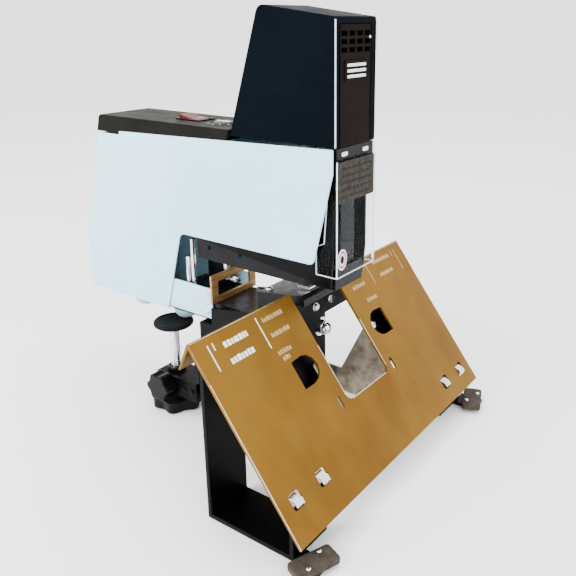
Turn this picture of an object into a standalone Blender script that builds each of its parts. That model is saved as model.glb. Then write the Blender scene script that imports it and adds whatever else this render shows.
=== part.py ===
"""Electric booklet stapler on its saddle stand, as separate pieces.

Metres, +Z up. +X is the front of the machine, the saddle ridge runs along Y.
Heights are measured from the floor. Lengths along X are measured from the
line that the staple driver moves on, and the whole model hangs from one
empty that puts the middle of its length over the origin.
"""
import math

import bmesh
import bpy
from mathutils import Matrix, Vector

MM = 0.001

# Saddle table: one bent sheet
TABLE_WIDTH = 297.0          # along the ridge, the short side of a folded A3 sheet
TABLE_SLOPE_LENGTH = 165.0
TABLE_ANGLE = math.radians(52.5)
TABLE_SHEET = 1.6
RIDGE_Z = 155.0
FLANGE_DROP = 24.0           # short flange behind the ridge
FLANGE_BACK = 11.0
NOTCH_HALF = 32.0
NOTCH_DEPTH = 103.0
FLANGE_NOTCH_HALF = 38.5

# Casing
CASE_HALF = 30.0
CASE_SHEET = 1.5
CASE_BOTTOM = 102.0
CASE_REAR = -271.0
CASE_FRONT = 44.0
THROAT_TOP = 184.0
THROAT_REAR = -132.0
REAR_TOP = 269.5              # the casing is a little lower under the cover's rear end
COVER_TOP = 287.0
TOWER_HALF = 28.5
TOWER_FRONT = 45.0
TOWER_TOP = 387.0
TOWER_BOTTOM = 281.6
WALL = 2.5

# Throat
ARM_TOP = 121.0
MAGAZINE_BOTTOM = 160.0
MAGAZINE_TOP = 180.0

# Stand
LEG_OUTER = 139.0
LEG_WIDTH = 42.0
BAR = 4.0
LEG_FRONT = 86.0
TONGUE = 3.0                 # thickness of the tongue under each swivelling pad
PAD_X = 102.0
PAD_Y = 136.0
PAD_HALF_LENGTH = 18.0
PAD_HALF_WIDTH = 9.0
PAD_TOE = math.radians(21.0)
ROD_X = -148.0
ROD_Y = -30.0
GAP = 0.3

# The model's middle along X, from its rearmost to its foremost point
PAD_REACH = (PAD_HALF_LENGTH - 3.0) * math.sin(PAD_TOE) + (PAD_HALF_WIDTH - 3.0) * math.cos(PAD_TOE) + 3.0
MIDDLE_X = (CASE_REAR + PAD_X + PAD_REACH) / 2

COLOURS = {
    "casing": ((0.72, 0.80, 0.86), 0.45, 0.0),
    "black_plastic": ((0.015, 0.015, 0.02), 0.4, 0.0),
    "brown_panel": ((0.03, 0.022, 0.018), 0.45, 0.0),
    "black_steel": ((0.012, 0.012, 0.014), 0.35, 0.3),
    "brass_plate": ((0.50, 0.32, 0.12), 0.35, 0.8),
    "steel": ((0.55, 0.55, 0.56), 0.35, 1.0),
    "chrome": ((0.85, 0.86, 0.88), 0.12, 1.0),
    "copper": ((0.60, 0.28, 0.14), 0.4, 1.0),
    "red": ((0.30, 0.02, 0.02), 0.35, 0.0),
    "clear": ((0.85, 0.90, 0.92), 0.08, 0.0),
    "rubber": ((0.08, 0.075, 0.07), 0.8, 0.0),
    "foot_rubber": ((0.35, 0.45, 0.52), 0.5, 0.0),
    "board": ((0.03, 0.16, 0.06), 0.5, 0.0),
    "grey_steel": ((0.20, 0.19, 0.18), 0.45, 0.8),
}


def material(finish):
    """One Principled material per finish, made on first use."""
    found = bpy.data.materials.get(finish)
    if found:
        return found
    colour, roughness, metallic = COLOURS[finish]
    made = bpy.data.materials.new(finish)
    made.use_nodes = True
    shader = made.node_tree.nodes["Principled BSDF"]
    shader.inputs["Base Color"].default_value = (*colour, 1.0)
    shader.inputs["Roughness"].default_value = roughness
    shader.inputs["Metallic"].default_value = metallic
    return made


def add_object(name, mesh, finish, pivot=(0.0, 0.0, 0.0)):
    """Link a mesh given in millimetres, with its origin at the pivot."""
    mesh.transform(Matrix.Scale(MM, 4) @ Matrix.Translation(-Vector(pivot)))
    mesh.materials.append(material(finish))
    piece = bpy.data.objects.new(name, mesh)
    piece.location = Vector(pivot) * MM
    piece.parent = ROOT
    bpy.context.scene.collection.objects.link(piece)
    return piece


def mesh_from(bm, name):
    bmesh.ops.recalc_face_normals(bm, faces=bm.faces)
    mesh = bpy.data.meshes.new(name)
    bm.to_mesh(mesh)
    bm.free()
    return mesh


def prism_mesh(name, outline, start, end, axis):
    """Extrude a closed outline along an axis.

    The outline is (x, z) for axis Y, (y, z) for axis X and (x, y) for axis Z.
    """
    place = {
        "X": lambda a, b, c: (c, a, b),
        "Y": lambda a, b, c: (a, c, b),
        "Z": lambda a, b, c: (a, b, c),
    }[axis]
    bm = bmesh.new()
    low = [bm.verts.new(place(a, b, start)) for a, b in outline]
    face = bm.faces.new(low)
    grown = bmesh.ops.extrude_face_region(bm, geom=[face])
    moved = [v for v in grown["geom"] if isinstance(v, bmesh.types.BMVert)]
    step = Vector(place(0.0, 0.0, end - start))
    bmesh.ops.translate(bm, vec=step, verts=moved)
    return mesh_from(bm, name)


def prism(name, outline, start, end, axis, finish, pivot=(0.0, 0.0, 0.0)):
    return add_object(name, prism_mesh(name, outline, start, end, axis), finish, pivot)


def box(name, x, y, z, finish, pivot=(0.0, 0.0, 0.0)):
    outline = [(x[0], z[0]), (x[1], z[0]), (x[1], z[1]), (x[0], z[1])]
    return prism(name, outline, y[0], y[1], "Y", finish, pivot)


def arc(centre, radius, start, end, steps):
    """Points on an arc, angles in degrees."""
    points = []
    for i in range(steps + 1):
        angle = math.radians(start + (end - start) * i / steps)
        points.append((centre[0] + radius * math.cos(angle), centre[1] + radius * math.sin(angle)))
    return points


def rounded_rectangle(x, y, radius, steps=4):
    return (arc((x[1] - radius, y[1] - radius), radius, 0, 90, steps)
            + arc((x[0] + radius, y[1] - radius), radius, 90, 180, steps)
            + arc((x[0] + radius, y[0] + radius), radius, 180, 270, steps)
            + arc((x[1] - radius, y[0] + radius), radius, 270, 360, steps))


def turned(name, profile, at, axis, finish, sides=24, pivot=None):
    """Spin a closed (radius, height) profile about an axis through a point."""
    bm = bmesh.new()
    rings = []
    for radius, height in profile:
        if radius == 0.0:
            rings.append([bm.verts.new((0.0, 0.0, height))])
            continue
        ring = []
        for i in range(sides):
            angle = 2 * math.pi * i / sides
            ring.append(bm.verts.new((radius * math.cos(angle), radius * math.sin(angle), height)))
        rings.append(ring)
    closed = profile[0][0] > 0.0 and profile[-1][0] > 0.0
    pairs = list(zip(rings, rings[1:]))
    if closed:
        pairs.append((rings[-1], rings[0]))
    for low, high in pairs:
        for i in range(sides):
            j = (i + 1) % sides
            corners = [low[i % len(low)], low[j % len(low)], high[j % len(high)], high[i % len(high)]]
            unique = list(dict.fromkeys(corners))
            if len(unique) > 2:
                bm.faces.new(unique)
    turn = {"X": Matrix.Rotation(math.pi / 2, 4, "Y"), "Y": Matrix.Rotation(-math.pi / 2, 4, "X"),
            "Z": Matrix.Identity(4)}[axis]
    bm.transform(Matrix.Translation(Vector(at)) @ turn)
    mesh = mesh_from(bm, name)
    mesh.shade_smooth()
    mesh.set_sharp_from_angle(angle=math.radians(40))
    return add_object(name, mesh, finish, at if pivot is None else pivot)


def rod_profile(radius, low, high):
    return [(0.0, low), (radius, low), (radius, high), (0.0, high)]


def ring_profile(inner, outer, low, high):
    return [(inner, low), (outer, low), (outer, high), (inner, high)]


def cutter(mesh):
    piece = add_object("cut_" + mesh.name, mesh, "steel")
    piece.hide_render = True
    piece.display_type = "WIRE"
    return piece


def cut(piece, mesh):
    """Take a cutter mesh in millimetres away from a piece."""
    tool = cutter(mesh)
    change = piece.modifiers.new("cut", "BOOLEAN")
    change.operation = "DIFFERENCE"
    change.solver = "EXACT"
    change.object = tool


def cut_box(piece, x, y, z):
    outline = [(x[0], z[0]), (x[1], z[0]), (x[1], z[1]), (x[0], z[1])]
    cut(piece, prism_mesh(piece.name + "_hole", outline, y[0], y[1], "Y"))


def cut_round(piece, centre, radius, start, end, axis, sides=20):
    outline = arc(centre, radius, 0, 360 - 360 / sides, sides - 1)
    cut(piece, prism_mesh(piece.name + "_bore", outline, start, end, axis))


def case_top(x):
    """Height of the casing's upper edge, which climbs a little to the front."""
    return 272.0 + 9.0 * (x + 233.0) / 277.0


def side_outline():
    rear_leg_slope = 22.0
    corner = 4.0
    outline = [(THROAT_REAR - rear_leg_slope, CASE_BOTTOM), (CASE_REAR + corner, CASE_BOTTOM)]
    outline += arc((CASE_REAR + corner, CASE_BOTTOM + corner), corner, 270, 180, 3)
    outline += [(CASE_REAR + 1.5, 156.0), (-235.5, REAR_TOP), (-205.0, REAR_TOP)]
    outline += [(-205.0, case_top(-205.0)), (CASE_FRONT, case_top(CASE_FRONT)), (CASE_FRONT, 262.0)]
    outline += arc((20.0, THROAT_TOP + 6.0), 6.0, -10, -90, 4)
    outline += arc((THROAT_REAR + 8.0, THROAT_TOP - 8.0), 8.0, 90, 170, 4)
    return outline


def make_casing():
    for name, side in (("casing_right", -1), ("casing_left", 1)):
        inner = side * (CASE_HALF - CASE_SHEET)
        prism(name, side_outline(), side * CASE_HALF, inner, "Y", "casing")
    for name, side in (("leg_panel_right", -1), ("leg_panel_left", 1)):
        outline = [(-158.0, 105.0), (-95.0, 105.0), (-95.0, 135.0), (-150.0, 135.0)]
        prism(name, outline, side * 28.2, side * 26.8, "Y", "casing")
    half = CASE_HALF - CASE_SHEET - GAP
    outer = [(CASE_REAR + 2.0, CASE_BOTTOM + 3.0), (CASE_REAR + 3.4, 156.0), (-233.9, REAR_TOP - 0.5)]
    inner = [(x + CASE_SHEET, z) for x, z in reversed(outer)]
    rear = prism("rear_panel", outer + inner, -half, half, "Y", "casing")
    cut_box(rear, (CASE_REAR - 5.0, CASE_REAR + 10.0), (-14.2, 14.2), (109.8, 130.2))
    plate = (CASE_BOTTOM + 0.4, CASE_BOTTOM + 2.4)
    box("base_plate", (CASE_REAR + 6.0, -158.5), (-half, half), plate, "black_steel")


def make_cover():
    low = REAR_TOP + 1.5
    outline = [(-237.0, low), (-233.0, 285.0), (-230.0, COVER_TOP), (-62.5, COVER_TOP)]
    outline += [(-66.0, case_top(-66.0) + GAP), (-205.5, case_top(-205.5) + GAP), (-205.5, low)]
    cover = prism("rear_cover", outline, -CASE_HALF, CASE_HALF, "Y", "black_plastic")
    inside = [(-231.0, 260.0), (-229.0, COVER_TOP - WALL), (-68.5, COVER_TOP - WALL), (-68.5, 260.0)]
    half = CASE_HALF - WALL
    cut(cover, prism_mesh("cover_inside", inside, -half, half, "Y"))
    cut_box(cover, (-146.0, -118.0), (-8.5, 8.5), (275.0, 295.0))
    cut_round(cover, (-96.0, 0.0), 10.5, 275.0, 295.0, "Z")


def tower_outline(inset):
    """Side view of the tower: the back leans forward as it rises."""
    back_low, back_high = -63.0, -29.0
    radius = 7.0 - min(inset, 2.0)
    front_top = TOWER_TOP - 9.0
    outline = [(back_low + inset, TOWER_BOTTOM)]
    top_arc = arc((back_high + 5.5, TOWER_TOP - 7.5), radius, 162, 82, 4)
    outline += top_arc if inset == 0.0 else arc((back_high + 8.0, TOWER_TOP - 9.5), radius, 162, 82, 4)
    outline += [(TOWER_FRONT - inset * 0.2, front_top - inset), (TOWER_FRONT - inset * 0.2, TOWER_BOTTOM)]
    return outline


def make_tower():
    tower = prism("tower_cover", tower_outline(0.0), -TOWER_HALF, TOWER_HALF, "Y", "black_plastic")
    half = TOWER_HALF - WALL
    inside = [(-59.5, TOWER_BOTTOM - 5.0), (-59.5, TOWER_BOTTOM + 1.0), (-25.5, 382.0)]
    inside += [(TOWER_FRONT - 6.0, 373.5), (TOWER_FRONT - 6.0, TOWER_BOTTOM - 5.0)]
    cut(tower, prism_mesh("tower_inside", inside, -half, half, "Y"))
    cut_box(tower, (TOWER_FRONT - 8.0, TOWER_FRONT + 5.0), (-22.0, 22.0), (TOWER_BOTTOM - 5.0, 373.0))
    make_front_panel()


def make_front_panel():
    panel = box("tower_front_panel", (TOWER_FRONT - 3.0, TOWER_FRONT), (-21.6, 21.6),
                (TOWER_BOTTOM, 372.6), "brown_panel")
    for row in range(3):
        for column in range(4):
            y = -15.9 + 10.6 * column
            z = 366.0 - 6.0 * row
            cut_box(panel, (TOWER_FRONT - 4.0, TOWER_FRONT + 1.0), (y - 4.0, y + 4.0), (z - 1.9, z + 1.9))


def make_controls():
    pivot = (-132.0, 0.0, 283.5)
    rocker = [(-144.5, 283.0), (-137.0, 280.0), (-127.0, 280.0), (-119.5, 283.0), (-119.5, 287.6)]
    rocker += [(-132.0, 289.0), (-144.5, 291.6)]
    prism("rocker_switch", rocker, -7.6, 7.6, "Y", "red", pivot)
    turned("strength_dial", [(0.0, -6.0), (9.6, -6.0), (9.6, 3.0), (8.6, 4.0), (0.0, 4.0)],
           (-96.0, 0.0, 284.0), "Z", "grey_steel")
    box("mains_inlet", (CASE_REAR, CASE_REAR + 16.0), (-14.0, 14.0), (110.0, 130.0), "black_plastic")
    cut_box(bpy.data.objects["mains_inlet"], (CASE_REAR - 2.0, CASE_REAR + 12.0), (-10.0, 10.0), (114.0, 126.0))
    box("transformer", (-245.0, -195.0), (-24.0, 24.0), (104.8, 148.0), "steel")
    box("control_board", (-242.0, -150.0), (-25.0, 25.0), (205.0, 207.0), "board")


def make_drive():
    for name, side in (("frame_right", -1), ("frame_left", 1)):
        outline = [(-118.0, 181.6), (38.0, 165.0), (40.5, 190.0), (40.5, 268.0), (-40.0, 268.0),
                   (-118.0, 230.0)]
        prism(name, outline, side * 22.4, side * 24.4, "Y", "black_steel")
    yoke = box("solenoid_yoke", (-24.0, 24.0), (-22.0, 22.0), (284.0, 350.0), "steel")
    cut_box(yoke, (-20.6, 20.6), (-30.0, 30.0), (288.0, 346.0))
    cut_round(yoke, (0.0, 0.0), 10.4, 280.0, 290.0, "Z")
    turned("solenoid_coil", ring_profile(10.4, 20.0, 288.4, 345.6), (0.0, 0.0, 0.0), "Z", "copper", 32)
    turned("armature", rod_profile(9.6, 262.0, 318.0), (0.0, 0.0, 0.0), "Z", "steel", 24)
    box("driver_holder", (-9.0, 9.0), (-9.0, 9.0), (246.0, 261.7), "steel")
    box("driver_blade", (-0.7, 0.7), (-6.5, 6.5), (184.0, 245.7), "steel")
    plate = box("guide_plate", (-12.0, 12.0), (-22.0, 22.0), (193.0, 196.0), "steel")
    cut_box(plate, (-1.3, 1.3), (-7.2, 7.2), (190.0, 200.0))
    make_spring()
    box("head_block", (14.0, 38.0), (-10.0, 10.0), (181.0, 245.0), "black_plastic")
    box("frame_spacer", (-90.0, -60.0), (-22.0, 22.0), (205.0, 225.0), "steel")


def make_spring():
    """Return spring between the guide plate and the driver holder."""
    turns, radius, low, high = 6.0, 9.4, 197.2, 244.8
    count = int(turns * 12)
    curve = bpy.data.curves.new("return_spring", "CURVE")
    curve.dimensions = "3D"
    curve.bevel_depth = 0.9 * MM
    curve.bevel_resolution = 1
    curve.render_resolution_u = 0
    curve.use_fill_caps = True
    spline = curve.splines.new("POLY")
    spline.points.add(count)
    for i in range(count + 1):
        angle = 2 * math.pi * turns * i / count
        height = low + (high - low) * i / count
        point = Vector((radius * math.cos(angle), radius * math.sin(angle), height)) * MM
        spline.points[i].co = (*point, 1.0)
    curve.materials.append(material("steel"))
    spring = bpy.data.objects.new("return_spring", curve)
    spring.parent = ROOT
    bpy.context.scene.collection.objects.link(spring)


def make_magazine():
    channel = box("magazine_channel", (-118.0, 13.0), (-20.0, 20.0), (MAGAZINE_BOTTOM, MAGAZINE_TOP),
                  "black_steel")
    cut_box(channel, (-125.0, 3.0), (-8.0, 8.0), (164.0, 177.0))
    cut_box(channel, (-1.6, 1.6), (-7.2, 7.2), (155.0, 185.0))
    box("magazine_nose", (13.4, 40.0), (-20.0, 20.0), (MAGAZINE_BOTTOM + 2.0, MAGAZINE_TOP), "black_steel")
    staples = [(-6.5, 164.4), (6.5, 164.4), (6.5, 174.0), (-6.5, 174.0)]
    prism("staple_strip", staples, -60.0, -1.0, "X", "steel")
    pusher = [(-7.4, 164.4), (7.4, 164.4), (7.4, 176.4), (-7.4, 176.4)]
    prism("staple_pusher", pusher, -78.0, -60.6, "X", "chrome")


def make_guard():
    """Clear finger guard: a front sheet with a wing on each side."""
    half, sheet = 28.2, 1.6
    front, back = 47.2, 26.0
    outline = [(back, -half), (front, -half), (front, half), (back, half), (back, half - sheet)]
    outline += [(front - sheet, half - sheet), (front - sheet, -half + sheet), (back, -half + sheet)]
    guard = prism("finger_guard", outline, 176.0, 272.0, "Z", "clear")
    for side in (-1, 1):
        shape = [(20.0, 198.0), (34.0, 204.0), (40.0, 280.0), (20.0, 280.0)]
        cut(guard, prism_mesh("guard_wing", shape, side * 26.0, side * 30.0, "Y"))
    box("guard_bar", (40.8, 45.0), (-26.0, 26.0), (269.0, 281.0), "black_steel")


def make_arm():
    arm = box("lower_arm", (-157.0, -14.0), (-26.0, 26.0), (CASE_BOTTOM + 0.4, ARM_TOP), "black_steel")
    cut_box(arm, (-152.0, -20.0), (-22.5, 22.5), (90.0, ARM_TOP - 4.0))
    outline = [(-40.0, ARM_TOP + GAP), (-13.0, ARM_TOP + GAP), (-13.0, 142.6), (12.0, 142.6),
               (12.0, 149.0), (9.0, 152.0), (-40.0, 145.0)]
    prism("anvil_block", outline, -26.0, 26.0, "Y", "black_steel")
    box("anvil_plate", (-7.0, 7.0), (-11.0, 11.0), (152.4, 154.4), "chrome")
    pin_x = -112.0
    turned("throat_bolt", [(0.0, 0.0), (6.0, 0.0), (6.0, 5.0), (3.5, 7.0), (0.0, 7.0)],
           (pin_x, -17.0, ARM_TOP + GAP), "Z", "chrome", 12)
    box("throat_block", (-128.0, -112.0), (2.0, 22.0), (ARM_TOP + GAP, 156.0), "black_steel")
    turned("guide_rod", rod_profile(2.2, ARM_TOP + GAP, 178.0), (-123.0, -22.0, 0.0), "Z", "chrome", 16)


def make_gauge():
    """Brass back gauge: an upright with a window, standing on the lower arm."""
    gauge = box("back_gauge", (-94.0, -91.8), (-30.5, 30.5), (ARM_TOP + GAP, 149.0), "brass_plate")
    cut_box(gauge, (-100.0, -85.0), (-22.0, 22.0), (127.0, 142.0))
    lever_pivot = (-101.0, 0.0, 151.0)
    lever = [(-103.0, 149.5), (-103.0, 152.5), (-99.0, 152.5), (-99.0, 139.0), (-86.0, 138.0),
             (-86.0, 136.0), (-102.0, 136.0)]
    prism("contact_lever", lever, -2.5, 2.5, "Y", "chrome", lever_pivot)


def slope_point(distance, depth=0.0):
    """A point on the table's front slope, at a depth below its face."""
    x = distance * math.cos(TABLE_ANGLE) - depth * math.sin(TABLE_ANGLE)
    z = RIDGE_Z - distance * math.sin(TABLE_ANGLE) - depth * math.cos(TABLE_ANGLE)
    return (x, z)


def slope_cutter(name, outline):
    """A cutter through the slope; the outline is (y, distance from the ridge)."""
    bm = bmesh.new()
    rows = []
    for depth in (-4.0, TABLE_SHEET + 4.0):
        row = []
        for y, distance in outline:
            x, z = slope_point(distance, depth)
            row.append(bm.verts.new((x, y, z)))
        rows.append(row)
    bm.faces.new(rows[0])
    bm.faces.new(list(reversed(rows[1])))
    count = len(outline)
    for i in range(count):
        j = (i + 1) % count
        bm.faces.new((rows[0][j], rows[0][i], rows[1][i], rows[1][j]))
    return mesh_from(bm, name)


def d_hole(side):
    """A hole with a straight outer side and a round inner side."""
    outer, straight = 69.0, 56.0
    points = [(side * outer, 51.0), (side * straight, 50.0)]
    points += [(side * (straight - 12.5 * math.sin(math.radians(a))), 62.5 - 12.5 * math.cos(math.radians(a)))
               for a in (30, 60, 90, 120, 150)]
    points += [(side * straight, 75.0), (side * outer, 75.0)]
    return points


def make_table():
    t = TABLE_SHEET
    low_x, low_z = slope_point(TABLE_SLOPE_LENGTH)
    in_x, in_z = slope_point(TABLE_SLOPE_LENGTH, t)
    back = (-FLANGE_BACK, RIDGE_Z - FLANGE_DROP)
    outline = [(low_x, low_z), (1.2, RIDGE_Z - 1.4), (0.0, RIDGE_Z - 0.7), (-1.0, RIDGE_Z - 1.4), back]
    outline += [(back[0] + t * 1.1, back[1]), (0.4, RIDGE_Z - 4.6), (in_x, in_z)]
    half = TABLE_WIDTH / 2
    table = prism("saddle_table", outline, -half, half, "Y", "brass_plate")
    notch = [(-NOTCH_HALF, -6.0), (NOTCH_HALF, -6.0)]
    notch += arc((NOTCH_HALF - 5.0, NOTCH_DEPTH - 5.0), 5.0, 0, 90, 4)
    notch += arc((-NOTCH_HALF + 5.0, NOTCH_DEPTH - 5.0), 5.0, 90, 180, 4)
    cut(table, slope_cutter("notch", notch))
    cut_box(table, (-20.0, 0.0), (-FLANGE_NOTCH_HALF, FLANGE_NOTCH_HALF), (120.0, 170.0))
    for side in (-1, 1):
        cut(table, slope_cutter("d_hole", d_hole(side)))
        y = side * 42.0
        cut(table, slope_cutter("slot", rounded_rectangle((y - 2.0, y + 2.0), (94.0, 106.0), 1.9, 3)))
        for centre in (98.0, 130.0):
            start = 130.0 if side < 0 else 140.0
            tab = rounded_rectangle((side * centre - 6.0, side * centre + 6.0), (start, start + 12.0), 1.5, 2)
            cut(table, slope_cutter("tab_window", tab))


def leg_outline():
    """Flat bar bent up at the back and at the front."""
    top = 138.0
    front_top = 38.0
    return [(0.3, 0.0), (LEG_FRONT, 0.0), (LEG_FRONT, front_top), (LEG_FRONT - BAR, front_top + 5.0),
            (LEG_FRONT - BAR, BAR), (0.3 + BAR, BAR), (0.3 + BAR, top), (0.3, top)]


def make_stand():
    for name, side in (("right", -1), ("left", 1)):
        y = sorted((side * LEG_OUTER, side * (LEG_OUTER - LEG_WIDTH)))
        prism("leg_" + name, leg_outline(), y[0], y[1], "Y", "black_steel")
        make_stabiliser(name, side)
        gusset = [(33.0, 106.0), (64.0, 66.0), (50.0, 34.0), (-40.0, 34.0), (-40.0, 58.0), (9.0, 58.0)]
        prism("gusset_" + name, gusset, side * 34.4, side * 36.4, "Y", "grey_steel")
    box("cross_bar", (-4.0, 0.0), (-LEG_OUTER, LEG_OUTER), (118.0, 140.0), "black_steel")
    side_view = [(-107.0, 20.0), (-107.0, 101.5), (-91.0, 101.5), (-91.0, 119.0), (-9.0, 131.0),
                 (-9.0, 32.0), (-40.0, 20.0)]
    channel = prism("under_channel", side_view, -34.0, 34.0, "Y", "black_steel")
    cut_box(channel, (-120.0, -12.0), (-31.0, 31.0), (10.0, 98.5))
    cut_box(channel, (-120.0, -12.0), (-31.0, 31.0), (102.0, 140.0))
    box("spacer_block", (-8.7, -4.3), (-20.0, 20.0), (100.0, 128.0), "black_steel")
    make_support()


def make_stabiliser(name, side):
    """Swivelling rubber pad on the tongue in front of each leg."""
    y = side * PAD_Y
    outline = rounded_rectangle((-PAD_HALF_WIDTH, PAD_HALF_WIDTH), (-PAD_HALF_LENGTH, PAD_HALF_LENGTH), 3.0)
    mesh = prism_mesh("pad_" + name, outline, TONGUE + GAP, TONGUE + GAP + 5.0, "Z")
    turn = Matrix.Rotation(side * PAD_TOE, 4, "Z")
    mesh.transform(Matrix.Translation((PAD_X, y, 0.0)) @ turn)
    add_object("stabiliser_" + name, mesh, "rubber", (PAD_X, y, TONGUE))
    box("tongue_" + name, (LEG_FRONT + GAP, PAD_X + 7.0), (y - 10.0, y + 10.0), (0.0, TONGUE), "black_steel")


def star_outline(radius, lobes, waist):
    points = []
    steps = lobes * 6
    for i in range(steps):
        angle = 2 * math.pi * i / steps
        r = radius - waist * (0.5 - 0.5 * math.cos(lobes * angle))
        points.append((r * math.cos(angle), r * math.sin(angle)))
    return points


def make_support():
    """Upright rod with a pad under the machine, locked by a star knob."""
    bracket = box("rod_bracket", (ROD_X - 14.0, -107.3), (-44.0, -16.0), (18.0, 38.0), "black_steel")
    cut_round(bracket, (ROD_X, ROD_Y), 5.4, 10.0, 50.0, "Z", 24)
    turned("support_rod", rod_profile(5.0, 12.3, 85.7), (ROD_X, ROD_Y, 0.0), "Z", "chrome", 24)
    turned("disc_pad", [(0.0, 86.0), (17.0, 86.0), (19.5, 88.0), (19.5, 90.5), (18.3, 91.7), (0.0, 91.7)],
           (ROD_X, ROD_Y, 0.0), "Z", "rubber", 32)
    foot = prism_mesh("foot_knob", star_outline(26.0, 6, 5.0), 0.0, 12.0, "Z")
    foot.transform(Matrix.Translation((ROD_X, ROD_Y, 0.0)))
    add_object("foot_knob", foot, "black_plastic", (ROD_X, ROD_Y, 0.0))
    lock = prism_mesh("lock_knob", star_outline(15.0, 6, 3.0), -58.0, -44.3, "Y")
    lock.transform(Matrix.Translation((ROD_X, 0.0, 28.0)))
    add_object("lock_knob", lock, "black_plastic", (ROD_X, -44.3, 28.0))


def make_feet():
    dome = [(0.0, 102.1), (12.5, 102.1), (11.6, 98.0), (8.5, 94.0), (4.5, 92.0), (0.0, 92.0)]
    for row, x in (("rear", -202.0), ("front", -143.0)):
        for name, y in (("right", -16.0), ("left", 16.0)):
            turned("foot_" + row + "_" + name, dome, (x, y, 0.0), "Z", "foot_rubber", 24)


for old in list(bpy.data.objects):
    bpy.data.objects.remove(old)
ROOT = bpy.data.objects.new("machine", None)
ROOT.location = (-MIDDLE_X * MM, 0.0, 0.0)
bpy.context.scene.collection.objects.link(ROOT)
make_casing()
make_cover()
make_tower()
make_controls()
make_drive()
make_magazine()
make_guard()
make_arm()
make_gauge()
make_table()
make_stand()
make_feet()
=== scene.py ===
import math
import random

import bmesh
import bpy
from mathutils import Matrix, Vector


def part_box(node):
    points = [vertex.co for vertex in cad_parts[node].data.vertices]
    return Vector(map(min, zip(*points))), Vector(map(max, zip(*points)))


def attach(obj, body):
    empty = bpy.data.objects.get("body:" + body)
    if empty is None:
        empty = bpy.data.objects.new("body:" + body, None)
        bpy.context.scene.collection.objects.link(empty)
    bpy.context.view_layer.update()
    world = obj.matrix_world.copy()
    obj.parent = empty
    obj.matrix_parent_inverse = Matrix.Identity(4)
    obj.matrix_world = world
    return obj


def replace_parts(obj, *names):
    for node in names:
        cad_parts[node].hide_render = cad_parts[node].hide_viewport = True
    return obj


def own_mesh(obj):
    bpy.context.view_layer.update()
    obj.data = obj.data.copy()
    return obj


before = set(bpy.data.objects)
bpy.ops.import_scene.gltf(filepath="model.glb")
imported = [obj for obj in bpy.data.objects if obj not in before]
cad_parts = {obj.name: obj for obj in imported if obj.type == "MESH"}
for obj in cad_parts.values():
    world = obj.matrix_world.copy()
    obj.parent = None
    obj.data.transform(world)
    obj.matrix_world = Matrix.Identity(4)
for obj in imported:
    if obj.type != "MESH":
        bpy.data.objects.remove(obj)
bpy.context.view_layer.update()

draw = random.Random(11)
mm = 0.001

# Every length below is in millimetres: x from the line the staple driver moves on,
# y from the machine's middle plane, z from the floor.
bladeLow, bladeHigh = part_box("driver_blade")
driverLine = (bladeLow.x + bladeHigh.x) / 2
toFrame = Matrix.Translation((driverLine, 0, 0)) @ Matrix.Scale(mm, 4)


class Value:
    # one output of a node; sums and products of these add Math nodes
    def __init__(self, paint, socket):
        self.paint = paint
        self.socket = socket

    def maths(self, operation, first, second):
        return self.paint.node("ShaderNodeMath", {"operation": operation}, {0: first, 1: second})

    def __add__(self, other):
        return self.maths("ADD", self, other)

    def __radd__(self, other):
        return self.maths("ADD", other, self)

    def __mul__(self, other):
        return self.maths("MULTIPLY", self, other)

    def __rmul__(self, other):
        return self.maths("MULTIPLY", other, self)


socketNames = {"BaseColor": "Base Color", "SpecularLevel": "Specular IOR Level",
               "TransmissionWeight": "Transmission Weight", "Ior": "IOR"}


class Paint:
    # one material and the few node recipes that all of them share
    def __init__(self, name):
        self.material = bpy.data.materials.new(name)
        self.material.use_nodes = True
        self.tree = self.material.node_tree
        self.shader = self.tree.nodes["Principled BSDF"]
        self.place = self.node("ShaderNodeTexCoord", out="Object")

    def node(self, kind, settings=None, sockets=None, out=0):
        made = self.tree.nodes.new(kind)
        for key, value in (settings or {}).items():
            setattr(made, key, value)
        for key, value in (sockets or {}).items():
            self.feed(made.inputs[key], value)
        return Value(self, made.outputs[out])

    def feed(self, socket, value):
        if isinstance(value, Value):
            self.tree.links.new(value.socket, socket)
        elif socket.type == "RGBA":
            socket.default_value = (*value, 1.0)
        else:
            socket.default_value = value

    def set(self, **values):
        for key, value in values.items():
            self.feed(self.shader.inputs[socketNames.get(key, key)], value)
        return self.material

    def stretched(self, stretch):
        return self.node("ShaderNodeVectorMath", {"operation": "MULTIPLY"}, {0: self.place, 1: stretch})

    def noise(self, size, detail=3.0, rough=0.55, stretch=None):
        # size is that of one patch, in millimetres
        where = self.stretched(stretch) if stretch else self.place
        sockets = {"Vector": where, "Scale": 1000.0 / size, "Detail": detail, "Roughness": rough}
        return self.node("ShaderNodeTexNoise", {}, sockets, "Fac")

    def ramp(self, value, low, high, start=0.0, end=1.0):
        sockets = {"Value": value, "From Min": low, "From Max": high, "To Min": start, "To Max": end}
        return self.node("ShaderNodeMapRange", {"clamp": True}, sockets)

    def blend(self, mask, first, second):
        return self.node("ShaderNodeMix", {"data_type": "RGBA"}, {0: mask, 6: first, 7: second}, 2)

    def bump(self, height, depth, strength=1.0):
        sockets = {"Height": height, "Distance": depth * mm, "Strength": strength}
        return self.node("ShaderNodeBump", {}, sockets)

    def height(self):
        return self.node("ShaderNodeSeparateXYZ", {}, {0: self.place}, "Z")


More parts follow.
